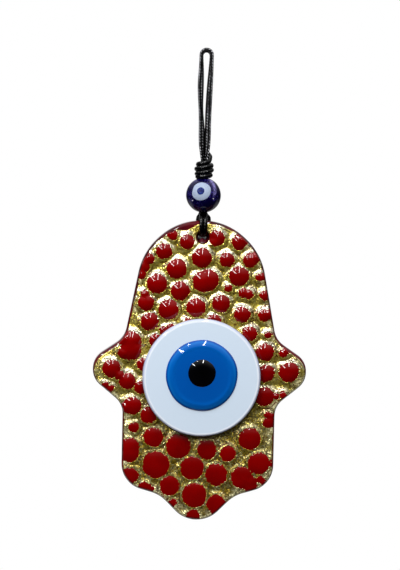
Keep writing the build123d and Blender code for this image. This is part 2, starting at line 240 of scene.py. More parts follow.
# Routes of the cord in millimetres: sideways place and height for the two rounds of the loop
FRONT_ROUND_ROUTE = [
    (-0.625, -36.9), (-1.0, -34.6), (-1.65, -30.4), (-1.7, -20.8), (-2.5, -10.7), (-2.05, -4.3),
    (-1.97, -0.83), (-1.95, 0.8), (-0.8, 1.95), (0.8, 1.95), (1.95, 0.8), (1.95, -0.83),
    (1.95, -4.3), (1.85, -11.1), (1.5, -21.5), (1.55, -30.4), (1.0, -34.6), (0.625, -36.9),
]
BACK_ROUND_ROUTE = [
    (-0.5, -36.9), (-0.5, -30.8), (-0.6, -25.1), (-1.4, -19.3), (-1.25, -10.0), (-1.4, -4.3),
    (-1.65, -1.0), (-1.65, 0.35), (-0.69, 1.35), (0.69, 1.35), (1.65, 0.35), (1.65, -1.0),
    (1.45, -4.3), (0.95, -10.0), (0.55, -19.3), (0.55, -25.1), (0.5, -30.8), (0.5, -36.9),
]

# Knot, core and slings: routes, and lengths without MM, are in millimetres
KNOT_TURNS = 4
KNOT_TURN_POINTS = 12
KNOT_END_ANGLE = -20.0
KNOT_RADII = [2.1, 2.3, 2.65, 2.55, 1.75]
KNOT_LEVELS = [-42.0, -41.9, -40.2, -38.6, -37.0]
KNOT_UNEVEN = 0.03
KNOT_WAVE = 2.3
KNOT_LEAN = 0.25
KNOT_STRAND_RADIUS = 0.92 * MM
KNOT_START = [(0.8, 1.2, -42.2)]
KNOT_END = [(2.0, 0.3, -35.4), (1.6, 0.6, -34.6), (0.9, 0.4, -34.2)]
CORE_LEVELS = [-36.9, -42.0, -48.0, -54.4]
SLING_RADIUS = 0.75 * MM
SLING_BEND = 1.5 * MM
SLING_ROUTE = [
    (0.62, -0.6, -53.0), (0.66, -0.65, -55.2), (0.72, -3.7, -56.9), (0.68, -3.95, -61.6),
    (0.56, -1.2, -62.5), (0.56, 2.5, -62.9), (0.7, 4.0, -64.2), (1.1, 3.9, -61.0),
]
SLING_BACK_ENDS = {-1: (1.8, 3.4, -56.9), 1: (2.7, 3.4, -56.9)}
SLING_END = [(0.62, 0.65, -55.2), (0.62, 0.6, -53.0)]

# Front of the hand: grid, hole and eye
EDGE_ROUND = 1.3 * MM
LEAF_INSET = 1.5 * MM
GRID = 0.25 * MM
GRID_MARGIN = 0.5 * GRID
LINE_SPACING = 0.1 * MM
WELD = 1e-6
CUT_TOLERANCE = 1e-9
COVER_LEAST = 0.01 * MM
HOLE_Z = joint_places["hand_swing"].z
HOLE = (0, HOLE_Z)
HOLE_CLEAR = 2.4 * MM
HOLE_RADIUS = 1.455 * MM
HOLE_MOUTH = 2.3 * MM
HOLE_TAPER = 2.6 * MM
EYE = ((eye_low.x + eye_high.x) / 2, (eye_low.z + eye_high.z) / 2)
EYE_COVER = 17.5 * MM
PAD_RADIUS = radius_of("eye_pad")
DISC_RADIUS = radius_of("eye_white")

# Glaze in the hole, dark as painted shade there
GLAZE_STATIONS = 10
GLAZE_ACROSS = 16
GLAZE_START = 0.15 * MM
GLAZE_REACH = 3.1 * MM
GLAZE_BITE = 0.05 * MM
GLAZE_SINK = 0.01 * MM
GLAZE_FILL = 0.98
GLAZE_TOP = 0.34 * MM
GLAZE_TENT = 0.62
GLAZE_FALL = 1.5 * MM
GLAZE_FALL_SHARE = 0.55
GLAZE_FALL_POWER = 1.5

# Rim, gold and drops: a wave is a noise's size and layer, and stations run from the hand's top to its tip
RIM_SHOWN = 0.55 * MM
RIM_TOP_EXTRA = 0.4 * MM
RIM_UNEVEN = 0.3 * MM
RIM_WAVE = (2.2 * MM, 0.0)
RIM_LEAST = 0.12 * MM
RIM_PATCH = 1.5 * MM
RIM_PATCH_X = -6.0 * MM
RIM_PATCH_WIDTH = 3.5 * MM
RIM_FADE = 0.9 * MM
RIM_FADE_LEAST = 0.1
LEAF_VALLEY = 0.08 * MM
LEAF_FLOW = 0.12 * MM
FLOW_WAVE = (1.3 * MM, 1.0)
LEAF_GRAIN = 0.04 * MM
GRAIN_WAVE = (0.5 * MM, 2.0)
VALLEY_EDGE = 0.5 * MM
DROP_LIFT = 0.7 * MM
DROP_SKIRT = 1.4 * MM
DROP_SLOPE = 38.0
DROP_LEAST = 0.3 * MM
DROP_STATIONS = [0, 0.45, 0.75, 1]
DROP_CROWNS = [1.0, 0.95, 0.45, 0.3]
DROP_LIFTS = [1.0, 0.9, 0.6, 0.5]
SPREAD_STATIONS = [0, 0.45, 1]
DROP_SPREADS = [0.1 * MM, 0.2 * MM, 0.32 * MM]
SPIKE_DEPTH = 0.5 * MM
SPIKES_PER_MM = 3.0
SPIKE_LAYER = 3.7
SPIKE_MIDDLE = 0.1 * MM
SPIKE_RIDGE = 0.05 * MM
RIDGE_WIDTH = 0.5 * MM
EDGE_WANDER = 0.25 * MM
WANDER_WAVE = (2.6 * MM, 5.0)
CONTOUR_LEAST = 0.015 * MM
SMOOTH_ROUNDS = 2
CALM_REACH = 3.2 * MM
CALM_BELOW = 1.6
CALM_LEAST = 0.15
UNDER_DISC = 1.05 * MM
SHEET_THICKNESS = 0.15 * MM

# Eye and bead
DISC_RINGS = 40
DISC_SEGMENTS = 128
DISC_WAVES = 2
DISC_FOOT = 0.98
RIPPLE_PLACE = 0.82
RIPPLE_WIDTH = 0.045
BEAD_MIDDLE = Vector((0, 0, joint_places["bead_spin"].z))
BEAD_RADIUS = 6.1 * MM
BEAD_RINGS = 48
BEAD_SEGMENTS = 72
BEAD_UNEVEN = 0.012
BEAD_SWELL = 5 * MM
BORE_RADIUS = 1.6 * MM
BORE_LIP = 0.35 * MM
LIP_OUT = 0.4
LIP_UP = 0.1
BEAD_EYE_COUNT = 2
BEAD_EYE_TURN = -13.0
BEAD_EYE_RISE = 17.0
BEAD_EYE_WIDTH = 7.1 * MM
BEAD_PUPIL_WIDTH = 2.8 * MM
CAP_RINGS = 14
CAP_SEGMENTS = 48
CAP_WAVES = 1.5
CAP_SINK = 0.08 * MM
CAP_DEPTH = 0.3 * MM
CAP_ROUND = 6
CAP_EDGE = 12

# Looks: a span becomes 0 to 1 or its last two numbers, patches are size and span, bumps size, strength, depth
CORD_TONES = [(0.35, srgb(2, 2, 3)), (0.75, srgb(10, 10, 12))]
CORD_GRAIN = (0.35 * MM, 3.0)
# Painted highlights: pale flecks on the cord's raised stitches
CORD_PAINTED_GLINT = srgb(205, 205, 212)
CORD_GLINT_SPAN = (0.45, 0.8)
CORD_GLINT_PATCHES = (1.6 * MM, (0.35, 0.6, 0.15, 1.0))
CORD_BUMP = (0.12 * MM, 0.2, 0.05 * MM)
PLATE_TONES = [(0.3, (0.03, 0.001, 0.004, 1)), (0.7, (0.085, 0.003, 0.006, 1))]
PLATE_CLOUD = 7 * MM
PLATE_LOW = (-60 * MM, -165 * MM)
PLATE_LOW_TINT = (2.4, 1.5, 1.2, 1)
PLATE_BUMP = (3 * MM, 0.12, 0.3 * MM)
DROP_TONES = [(0.3, srgb(112, 0, 1)), (0.7, srgb(128, 0, 2))]
DROP_CLOUD = 6 * MM
# Painted shade: the dark maroon of the glaze in the hole
GLAZE_SHADE_TONES = (srgb(62, 14, 26), srgb(104, 38, 50))
CEMENT_TONES = (srgb(120, 105, 80), srgb(150, 135, 110))
GLASS_BUMP = (0.08, 0.2 * MM)

# Gold's looks
GOLD_TONES = [(0.3, (0.36, 0.24, 0.02, 1)), (0.5, (0.68, 0.54, 0.07, 1)), (0.7, (0.92, 0.82, 0.25, 1))]
GOLD_CLOUD = (1.3 * MM, 4.0, 0.65)
GOLD_LOW = (-100 * MM, -150 * MM)
# Painted shade: the gold darker olive toward the hand's tip
GOLD_LOW_SHADE = (0.54, 0.45, 0.14, 1)
FLAKE_SIZE = 0.42 * MM
DUST_SIZE = 0.22 * MM
FLAKE_SHADE = (0.0, 1.0, 0.6, 1.2)
FLAKE_LEAN = (0.0, 1.0, 0.33, 0.42)
# Painted highlight: pale gold on slopes that face up beside the drops
TOP_LIGHT_GOLD = (1.0, 0.97, 0.78, 1)
TOP_LIGHT_GAP = (2.2, 0.4)
TOP_LIGHT_SLOPE = (-0.02, 0.24, 0.0, 0.85)
WORN_RED = (0.12, 0.02, 0.005, 1)
WORN_FLAKES = (0.72, 0.9)
WORN_PATCHES = (2.5 * MM, (0.42, 0.62))
GLINT = (1.0, 0.98, 0.55, 1)
GLINT_DUST = (0.72, 0.8)
GLINT_PATCHES = (1.6 * MM, (0.35, 0.6))
# Painted highlight: bright gold near the rim, low on the hand
RIM_HIGHLIGHT_GOLD = (1.0, 0.93, 0.5, 1)
RIM_HIGHLIGHT_REACH = (4.5, 1.0)
RIM_HIGHLIGHT_PATCHES = (5 * MM, (0.4, 0.6, 0.1, 0.9))
RIM_HIGHLIGHT_FLAKES = (0.1, 0.5)
# Painted light from below: cream, less metallic gold on edges whose slopes face down
UNDERLIGHT_CREAM = (0.95, 0.88, 0.5, 1)
UNDERLIGHT_RIM = (3.6, 0.9)
UNDERLIGHT_SLOPE = (0.02, -0.2)
UNDERLIGHT_PATCHES = (3 * MM, (0.36, 0.56, 0.1, 1.0), 4.0)
UNDERLIGHT_FLAKES = (0.05, 0.4, 0.35, 1.0)
UNDERLIGHT_METAL = (0.0, 1.0, 0.75, 0.1)
HAIR_RED = (0.13, 0.012, 0.005, 1)
HAIR_GAP = 0.85
HAIR_WIDTH = (0.16, 0.05)
HAIR_PATCHES = (6 * MM, (0.5, 0.6))

# Looks of the eye, as colours from the middle of a disc to its edge, with a painted highlight ring inside the white
# and blue discs' edges, and of the bead
# The bright ring at 0.955 is a painted highlight inside the white disc's edge; the disc is lavender at the very edge
WHITE_RINGS_WITH_HIGHLIGHT = [
    (0.0, srgb(204, 220, 236)), (0.935, srgb(206, 221, 237)), (0.955, srgb(236, 242, 250)),
    (0.975, srgb(196, 206, 226)), (1.0, srgb(162, 166, 194)),
]
# The lighter ring at 0.94 is a painted highlight inside the blue disc's edge; the disc is darker at the very edge
BLUE_RINGS_WITH_HIGHLIGHT = [
    (0.0, srgb(0, 76, 158)), (0.7, srgb(0, 81, 164)), (0.88, srgb(2, 90, 174)),
    (0.94, srgb(18, 104, 186)), (0.97, srgb(0, 78, 160)), (1.0, srgb(0, 66, 144)),
]
BLACK_RINGS = [(0.0, srgb(3, 3, 4)), (0.5, srgb(6, 6, 8)), (1.0, srgb(10, 10, 13))]
MOTTLE_SIZE = 4 * MM
DISC_BUMP = (2.5 * MM, 0.06, 0.3 * MM)
BEAD_NAVY = srgb(10, 3, 46)
BEAD_FRONT = (1 * MM, -1 * MM)
BEAD_BUMP = (0.8 * MM, 0.25, 0.12 * MM, 3.0)
HAZE = srgb(70, 60, 150)
HAZE_GRAIN = (0.5 * MM, (0.5, 0.68), 4.0, 0.7)
HAZE_PATCHES = (4 * MM, (0.45, 0.6))
LAVENDER = srgb(150, 140, 215)
ARC_INSIDE = (4.3 * MM, 4.9 * MM)
ARC_OUTSIDE = (5.8 * MM, 5.2 * MM)
ARC_SIDE = (-1.5 * MM, 0.5 * MM)
ARC_LEVEL = (BEAD_MIDDLE.z - 0.5 * MM, BEAD_MIDDLE.z + 0.8 * MM)
ARC_GRAIN = (0.35 * MM, (0.42, 0.62), 4.0, 0.7)
# Painted highlights: two small pale sparkles on the bead
PAINTED_SPARKLE = srgb(225, 222, 240)
SPARKLE_PLACES = [(3.2 * MM, -0.9 * MM), (-4.0 * MM, -1.7 * MM)]
SPARKLE_EDGE = (0.28 * MM, 0.12 * MM)
BEAD_WHITE_TONES = (srgb(140, 153, 175), srgb(152, 165, 186))
BEAD_PUPIL_TONES = (srgb(12, 22, 78), srgb(28, 48, 116))

# Studio: brightness of the room from the floor to overhead, and lamps as turn, tilt, size and power
ROOM_TOP = 0.95
ROOM_LEVELS = [(0.0, 0.015), (0.5, 0.02), (0.58, 0.06), (0.68, 0.26), (0.8, 0.66), (0.95, 1.0)]
BEHIND = (0.85, 0.99)
UNDER_BACK = (0.1, 0.45)
UNDER_LEVEL = (-0.15, -0.5, 0.0, 0.5)
FLOOR_RADIUS = 0.3
FLOOR_SIDES = 96
FLOOR_DROP = 1.2
FLOOR_CLOUD = 0.1
FLOOR_TONES = [(0.0, (0.82, 0.82, 0.82, 1)), (1.0, (0.86, 0.86, 0.86, 1))]
LAMP_DISTANCE = 0.55
LAMP_AIM = -0.1
LAMPS = [
    ("left_strip", -46.0, 47.0, (0.024, 0.46), 1.8),
    ("middle_lamp", -24.0, 50.0, (0.04, 0.06), 0.5),
    ("right_strip", 8.0, 48.0, (0.024, 0.46), 1.8),
]


# Node helpers
def put(kind, inputs, **settings):
    """Adds a node where its inputs come from, with these linked or set."""
    tree = next(value.id_data for value in inputs.values() if isinstance(value, bpy.types.NodeSocket))
    made = source(tree, kind, **settings)
    for key, value in inputs.items():
        if isinstance(value, bpy.types.NodeSocket):
            tree.links.new(value, made.inputs[key])
        else:
            made.inputs[key].default_value = value
    return made


def source(tree, kind, **settings):
    """Adds a node, with its properties set."""
    made = tree.nodes.new(kind)
    for key, value in settings.items():
        setattr(made, key, value)
    return made


def feed(shader, key, value):
    """Links a value into a shader."""
    shader.id_data.links.new(value, shader.inputs[key])


def new_material(name, surface):
    """A material with constant values on its shader's own sockets."""
    made = bpy.data.materials.new(name)
    made.use_nodes = True
    shader = made.node_tree.nodes["Principled BSDF"]
    for key, value in surface.items():
        shader.inputs[key].default_value = value
    return made, made.node_tree, shader


def wear(piece, made):
    """Gives a piece its one material."""
    piece.data.materials.clear()
    piece.data.materials.append(made)


def settle(piece, finish, body, node):
    """Gives a piece its material and its body, in the place of a node."""
    wear(piece, finish)
    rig.ride(piece, body)
    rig.replaces(piece, node)
    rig.slot(piece, node)


# Mesh helpers
def mesh_piece(name, points, faces):
    """A smooth mesh object from points and faces."""
    mesh = bpy.data.meshes.new(name)
    mesh.from_pydata([tuple(p) for p in points], [], faces)
    mesh.polygons.foreach_set("use_smooth", [True] * len(mesh.polygons))
    mesh.update()
    piece = bpy.data.objects.new(name, mesh)
    bpy.context.scene.collection.objects.link(piece)
    return piece


def line_points(route):
    """Points along the smooth line that a route's points control."""
    curve = bpy.data.curves.new("route", "CURVE")
    curve.dimensions = "3D"
    spline = curve.splines.new("NURBS")
    spline.points.add(len(route) - 1)
    for point, place in zip(spline.points, route):
        point.co = (*place, 1.0)
    spline.order_u = 3
    spline.use_endpoint_u = True
    curve.resolution_u = LINE_STEPS
    holder = bpy.data.objects.new("route", curve)
    line = bpy.data.meshes.new_from_object(holder)
    points = [vertex.co.copy() for vertex in line.vertices]
    bpy.data.objects.remove(holder)
    bpy.data.curves.remove(curve)
    bpy.data.meshes.remove(line)
    return points


def ring_faces(rings, sides, wraps=False):
    """Faces between rings of points, with both ends closed or the last ring joined to the first."""
    faces = []
    for ring in range(rings if wraps else rings - 1):
        here, there = ring * sides, (ring + 1) % rings * sides
        for k in range(sides):
            beside = (k + 1) % sides
            faces.append((here + k, here + beside, there + beside, there + k))
    if not wraps:
        last = (rings - 1) * sides
        faces.append(tuple(range(sides))[::-1])
        faces.append(tuple(range(last, last + sides)))
    return faces


def braid_tube(points, radius, relief):
    """Points and stitch heights of a braided tube along a line."""
    verts, heights = [], []
    start = (points[1] - points[0]).normalized()
    side = Vector((1, 0, 0)) if abs(start.x) < ALONG_X else Vector((0, 1, 0))
    run = 0.0
    for index, place in enumerate(points):
        before = points[max(index - 1, 0)]
        after = points[min(index + 1, len(points) - 1)]
        ahead = (after - before).normalized()
        side = (side - ahead * side.dot(ahead)).normalized()
        up = ahead.cross(side)
        run += (place - before).length
        for k in range(TUBE_SIDES):
            angle = 2 * math.pi * k / TUBE_SIDES
            around = STITCH_ROWS * (angle - math.radians(STITCH_TURN))
            along = 2 * math.pi * run / STITCH_PITCH + STITCH_SLANT * math.sin(around)
            stitch = (0.5 + 0.5 * math.cos(around)) * (0.5 + 0.5 * math.cos(along))
            heights.append(relief * stitch)
            reach = radius * (1 - STITCH_DEPTH * relief * (1 - stitch))
            verts.append(place + (side * math.cos(angle) + up * math.sin(angle)) * reach)
    return verts, heights


# Camera
def direction(turn, rise):
    """The way out at a turn from the front and a rise, in degrees."""
    turn, rise = math.radians(turn), math.radians(rise)
    return Vector((math.sin(turn) * math.cos(rise), -math.cos(turn) * math.cos(rise), math.sin(rise)))


def stand(name, data, place, axes):
    """Puts a camera or a lamp at a place, turned by its three axes."""
    made = bpy.data.objects.new(name, data)
    made.matrix_world = Matrix.Translation(place) @ Matrix(axes).transposed().to_4x4()
    bpy.context.scene.collection.objects.link(made)
    return made


def add_camera():
    """A camera before the hand, placed as the photograph's was."""
    roll = math.radians(VIEW_ROLL)
    target = Vector((VIEW_SIDE, 0, hand_high.z - VIEW_DEPTH))
    back = direction(VIEW_AZIMUTH, VIEW_ELEVATION)
    level = Vector((0, 0, 1)).cross(back).normalized()
    upright = back.cross(level)
    right = level * math.cos(roll) + upright * math.sin(roll)
    up = upright * math.cos(roll) - level * math.sin(roll)
    lens = bpy.data.cameras.new("camera")
    lens.lens = lens.sensor_width * VIEW_DISTANCE / VIEW_HEIGHT
    bpy.context.scene.camera = stand("camera", lens, target + back * VIEW_DISTANCE, (right, up, back))


# Materials
def place_of(tree):
    """The surface's own coordinates, in metres."""
    return source(tree, "ShaderNodeTexCoord").outputs["Object"]


def axis_of(where, axis):
    """One axis of a place."""
    return put("ShaderNodeSeparateXYZ", {"Vector": where}).outputs[axis]


def stored(tree, name, output="Fac"):
    """What the mesh holds at its points under a name."""
    return source(tree, "ShaderNodeAttribute", attribute_name=name).outputs[output]


def cloud(where, size, detail=2.0, roughness=0.5):
    """A soft noise with features of about the given size."""
    return put("ShaderNodeTexNoise", {"Vector": where, "Scale": 1 / size, "Detail": detail,
                                      "Roughness": roughness}).outputs["Fac"]


def ramp(factor, stops):
    """A colour ramp through (position, colour) stops."""
    made = put("ShaderNodeValToRGB", {"Fac": factor})
    line = made.color_ramp.elements
    while len(line) < len(stops):
        line.new(1.0)
    for element, stop in zip(line, stops):
        element.position, element.color = stop
    return made.outputs["Color"]


def mixed(factor, first, second, way="MIX"):
    """Two colours mixed by a factor."""
    return put("ShaderNodeMixRGB", {"Fac": factor, "Color1": first, "Color2": second},
               blend_type=way).outputs["Color"]


def maths(kind, *values):
    """One arithmetic node."""
    return put("ShaderNodeMath", dict(enumerate(values)), operation=kind).outputs[0]


def vector_maths(kind, *values):
    """One arithmetic node on places or directions."""
    return put("ShaderNodeVectorMath", dict(enumerate(values)), operation=kind).outputs["Vector"]


def product(first, *others):
    """Several values multiplied."""
    for other in others:
        first = maths("MULTIPLY", first, other)
    return first


def stretch(value, low, high, new_low=0.0, new_high=1.0):
    """A value taken from one range to another, smoothly, and held inside it."""
    return put("ShaderNodeMapRange", {"Value": value, "From Min": low, "From Max": high, "To Min": new_low,
                                      "To Max": new_high}, interpolation_type="SMOOTHSTEP").outputs["Result"]


def patches(where, size, span, *detail):
    """A soft noise of about the given size, stretched over a span."""
    return stretch(cloud(where, size, *detail), *span)


def spot_distance(where, centre):
    """Distance of the surface from a point, seen from the front."""
    away = vector_maths("MULTIPLY", vector_maths("SUBTRACT", where, centre), (1, 0, 1))
    return put("ShaderNodeVectorMath", {0: away}, operation="LENGTH").outputs["Value"]


def bump(shader, where, size, strength, depth, *detail):
    """Fine relief from a soft noise of about the given size."""
    made = put("ShaderNodeBump", {"Height": cloud(where, size, *detail), "Strength": strength,
                                  "Distance": depth})
    feed(shader, "Normal", made.outputs["Normal"])


def cord_material():
    """Black waxed cord with painted pale highlights on its raised stitches in places."""
    made, tree, shader = new_material("waxed_cord", {"Roughness": 0.22, "IOR": 1.35})
    lay = stored(tree, "lay", "Vector")
    tone = ramp(cloud(lay, *CORD_GRAIN), CORD_TONES)
    # Painted highlights on the raised stitches
    wear_and_glint = product(stretch(stored(tree, "stitch"), *CORD_GLINT_SPAN), patches(lay, *CORD_GLINT_PATCHES))
    feed(shader, "Base Color", mixed(wear_and_glint, tone, CORD_PAINTED_GLINT))
    bump(shader, lay, *CORD_BUMP)
    return made


def plate_material():
    """Dark red glass, a little lighter toward the hand's tip."""
    made, tree, shader = new_material("ruby_plate", {"Roughness": 0.05, "IOR": 1.4})
    where = place_of(tree)
    tone = ramp(cloud(where, PLATE_CLOUD), PLATE_TONES)
    low = stretch(axis_of(where, "Z"), *PLATE_LOW)
    tone = mixed(low, tone, mixed(1.0, tone, PLATE_LOW_TINT, "MULTIPLY"))
    feed(shader, "Base Color", tone)
    bump(shader, where, *PLATE_BUMP)
    return made


def gold_material():
    """Gold leaf with red showing through: painted highlights on slopes facing up above the drops, painted shade making
    it darker olive and speckled low down, painted glints and rim highlights there, and painted light on edges facing
    down.
    """
    made, tree, shader = new_material("gold_leaf", {
        "Roughness": 0.27, "Coat Weight": 0.2, "Coat Roughness": 0.05})
    where = place_of(tree)
    gap, slope, rim = (stored(tree, name) for name in ("gap", "slope", "rim"))
    low = stretch(axis_of(where, "Z"), *GOLD_LOW)
    flake, dust = (put("ShaderNodeTexVoronoi", {"Vector": where, "Scale": 1 / size}).outputs["Color"]
                   for size in (FLAKE_SIZE, DUST_SIZE))
    speckle = put("ShaderNodeSeparateColor", {"Color": flake}).outputs
    grit = put("ShaderNodeSeparateColor", {"Color": dust}).outputs[0]

    tone = ramp(cloud(where, *GOLD_CLOUD), GOLD_TONES)
    # Painted highlight on slopes that face up near the drops
    pale = product(stretch(gap, *TOP_LIGHT_GAP), stretch(slope, *TOP_LIGHT_SLOPE))
    tone = mixed(pale, tone, TOP_LIGHT_GOLD)
    tone = mixed(1.0, tone, stretch(speckle[0], *FLAKE_SHADE), "MULTIPLY")
    wear_and_glint = product(stretch(speckle[1], *WORN_FLAKES), patches(where, *WORN_PATCHES))
    tone = mixed(wear_and_glint, tone, WORN_RED)
    # Painted shade: darker olive toward the hand's tip
    tone = mixed(low, tone, mixed(1.0, tone, GOLD_LOW_SHADE, "MULTIPLY"))
    glint = product(stretch(grit, *GLINT_DUST), patches(where, *GLINT_PATCHES), low)
    tone = mixed(glint, tone, GLINT)
    # Painted highlight near the rim, low on the hand
    bright = product(stretch(rim, *RIM_HIGHLIGHT_REACH), patches(where, *RIM_HIGHLIGHT_PATCHES),
                     stretch(speckle[2], *RIM_HIGHLIGHT_FLAKES), low)
    tone = mixed(bright, tone, RIM_HIGHLIGHT_GOLD)
    # Painted light from below on edges that face down, with less metal there
    underlight = product(stretch(rim, *UNDERLIGHT_RIM), stretch(slope, *UNDERLIGHT_SLOPE),
                    patches(where, *UNDERLIGHT_PATCHES), stretch(speckle[2], *UNDERLIGHT_FLAKES))
    tone = mixed(underlight, tone, UNDERLIGHT_CREAM)
    feed(shader, "Metallic", stretch(underlight, *UNDERLIGHT_METAL))
    hair = maths("ABSOLUTE", maths("SUBTRACT", gap, HAIR_GAP))
    hair = product(stretch(hair, *HAIR_WIDTH), patches(where, *HAIR_PATCHES))
    tone = mixed(hair, tone, HAIR_RED)
    feed(shader, "Base Color", tone)

    lean = vector_maths("SUBTRACT", vector_maths("ADD", flake, dust), (1, 1, 1))
    lean = vector_maths("MULTIPLY", lean, stretch(low, *FLAKE_LEAN))
    facing = source(tree, "ShaderNodeNewGeometry").outputs["Normal"]
    feed(shader, "Normal", vector_maths("NORMALIZE", vector_maths("ADD", facing, lean)))
    return made


def drop_material():
    """Glossy red glass."""
    made, tree, shader = new_material("ruby_drops", {"Roughness": 0.02, "IOR": 1.43})
    feed(shader, "Base Color", ramp(cloud(place_of(tree), DROP_CLOUD), DROP_TONES))
    return made


def disc_material(name, node, rings, roughness, index, mottle):
    """Glass coloured by rings round a disc's middle, with a faint mottle."""
    made, tree, shader = new_material(name, {"Roughness": roughness, "IOR": index})
    low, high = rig.box(node)
    where = place_of(tree)
    away = maths("DIVIDE", spot_distance(where, (low + high) / 2), radius_of(node))
    drift = maths("MULTIPLY_ADD", cloud(where, MOTTLE_SIZE), mottle, -mottle / 2)
    away = maths("ADD", away, drift)
    feed(shader, "Base Color", ramp(away, rings))
    bump(shader, where, *DISC_BUMP)
    return made


def bead_material():
    """Navy glass with some haze, a lavender arc beside the front eye and two painted sparkle highlights."""
    made, tree, shader = new_material("navy_bead", {"Roughness": 0.08, "IOR": 1.4})
    where = place_of(tree)
    front = stretch(axis_of(where, "Y"), *BEAD_FRONT)
    haze = product(patches(where, *HAZE_GRAIN), patches(where, *HAZE_PATCHES))
    tone = mixed(haze, BEAD_NAVY, HAZE)
    away = spot_distance(where, BEAD_MIDDLE + eye_direction(0) * BEAD_RADIUS)
    arc = product(stretch(away, *ARC_INSIDE), stretch(away, *ARC_OUTSIDE), front,
                  stretch(axis_of(where, "X"), *ARC_SIDE),
                  stretch(axis_of(where, "Z"), *ARC_LEVEL), patches(where, *ARC_GRAIN))
    tone = mixed(arc, tone, LAVENDER)
    # Two painted sparkle highlights
    for x, z in SPARKLE_PLACES:
        away = spot_distance(where, BEAD_MIDDLE + Vector((x, 0, z)))
        tone = mixed(product(stretch(away, *SPARKLE_EDGE), front), tone, PAINTED_SPARKLE)
    feed(shader, "Base Color", tone)
    bump(shader, where, *BEAD_BUMP)
    return made


def plain_glass(name, tones, roughness, size=1.5 * MM, index=1.5):
    """Opaque glass, or cement, of two near tones."""
    made, tree, shader = new_material(name, {"Roughness": roughness, "IOR": index})
    where = place_of(tree)
    dark, light = tones
    feed(shader, "Base Color", ramp(cloud(where, size), [(0.35, dark), (0.65, light)]))
    bump(shader, where, size, *GLASS_BUMP)
    return made


# Cord pieces
def cord_piece(name, routes, radius, relief, finish):
    """Braided cord along routes in millimetres, as one piece, and the lines that it follows."""
    lines = [line_points([Vector(place) * MM for place in route]) for route in routes]
    verts, faces, heights = [], [], []
    for points in lines:
        faces += [tuple(v + len(verts) for v in face) for face in ring_faces(len(points), TUBE_SIDES)]
        more_verts, more_heights = braid_tube(points, radius, relief)
        verts += more_verts
        heights += more_heights
    piece = mesh_piece(name, verts, faces)
    # The texture follows the resting places, so that it bends with the piece
    lay = np.array(verts, np.float32).ravel()
    piece.data.attributes.new("lay", "FLOAT_VECTOR", "POINT").data.foreach_set("vector", lay)
    piece.data.attributes.new("stitch", "FLOAT", "POINT").data.foreach_set("value", heights)
    wear(piece, finish)
    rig.slot(piece, "cord")
    return piece, lines


def add_loop(name, route, depth, node, finish):
    """One round of the hanging loop, from the knot up over the hook and down again."""
    route = [(x, depth, z) for x, z in route]
    piece, (points,) = cord_piece(name, [route], CREST_RADIUS, LOOSE_RELIEF, finish)
    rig.blend(piece, "hanger", "knot", start=(0, 0, TWIST_TOP), end=joint_places["cord_twist"])
    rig.replaces(piece, node)
    length = sum((b - a).length for a, b in zip(points, points[1:]))
    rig.cord(piece, exit=points[0], length=length, diameter=CORD_DIAMETER, far_end="object",
            stiffness="limp", lay="hanging", path=points)


def add_knot(finish):
    """The cord wound round the strands, with its ends tucked in."""
    count = KNOT_TURNS * KNOT_TURN_POINTS
    stations = range(KNOT_TURNS + 1)
    route = list(KNOT_START)
    for step in range(count + 1):
        angle = math.radians(KNOT_END_ANGLE - 360 * (count - step) / KNOT_TURN_POINTS)
        turn = step / KNOT_TURN_POINTS
        reach = np.interp(turn, stations, KNOT_RADII) * (1 + KNOT_UNEVEN * math.sin(KNOT_WAVE * step))
        level = np.interp(turn, stations, KNOT_LEVELS) + KNOT_LEAN * math.cos(angle)
        route.append((reach * math.cos(angle), reach * math.sin(angle), level))
    piece, _ = cord_piece("knot_winding", [route + KNOT_END], KNOT_STRAND_RADIUS, PULLED_RELIEF, finish)
    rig.ride(piece, "knot")
    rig.replaces(piece, "stopper_knot")


def add_core(finish):
    """The four strands inside the knot and the bead."""
    sides = (-STRAND / MM, STRAND / MM)
    routes = [[(x, y, z) for z in CORE_LEVELS] for x in sides for y in sides]
    piece, _ = cord_piece("core_bundle", routes, CREST_RADIUS, LOOSE_RELIEF, finish)
    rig.ride(piece, "knot")
    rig.replaces(piece, "core_strands")


def add_sling(name, side, node, finish):
    """One strand out of the bead, through the hand's hole and up again behind it."""
    route = [(side * x, y, z) for x, y, z in [*SLING_ROUTE, SLING_BACK_ENDS[side], *SLING_END]]
    piece, _ = cord_piece(name, [route], SLING_RADIUS, PULLED_RELIEF, finish)
    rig.blend(piece, "knot", "sling", start=(0, 0, joint_places["hand_tilt"].z + SLING_BEND),
             end=(0, 0, joint_places["hand_tilt"].z - SLING_BEND))
    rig.replaces(piece, node)


# Front of the hand: gold leaf in relief with red drops standing on it
def plate_outline():
    """The hand's outline in order, where the plate's side meets its front rounding."""
    shape = welded("hand_plate")
    level = hand_low.y + EDGE_ROUND
    following = {}
    for edge in shape.edges:
        if all(abs(vertex.co.y - level) < WELD for vertex in edge.verts):
            for vertex in edge.verts:
                following.setdefault(vertex, []).append(edge.other_vert(vertex))
    start = next(iter(following))
    walk, step = [start], following[start][0]
    while step != start:
        walk.append(step)
        step = next(vertex for vertex in following[step] if vertex != walk[-2])
    places = np.array([(vertex.co.x, vertex.co.z) for vertex in walk])
    shape.free()
    ahead = np.roll(places, -1, axis=0)
    area = np.sum(places[:, 0] * ahead[:, 1] - ahead[:, 0] * places[:, 1])
    return places if area > 0 else places[::-1]


def welded(node):
    """A node's mesh with its doubled points joined."""
    shape = bmesh.new()
    shape.from_mesh(frame["nodes"][node].data)
    bmesh.ops.remove_doubles(shape, verts=shape.verts, dist=WELD)
    return shape


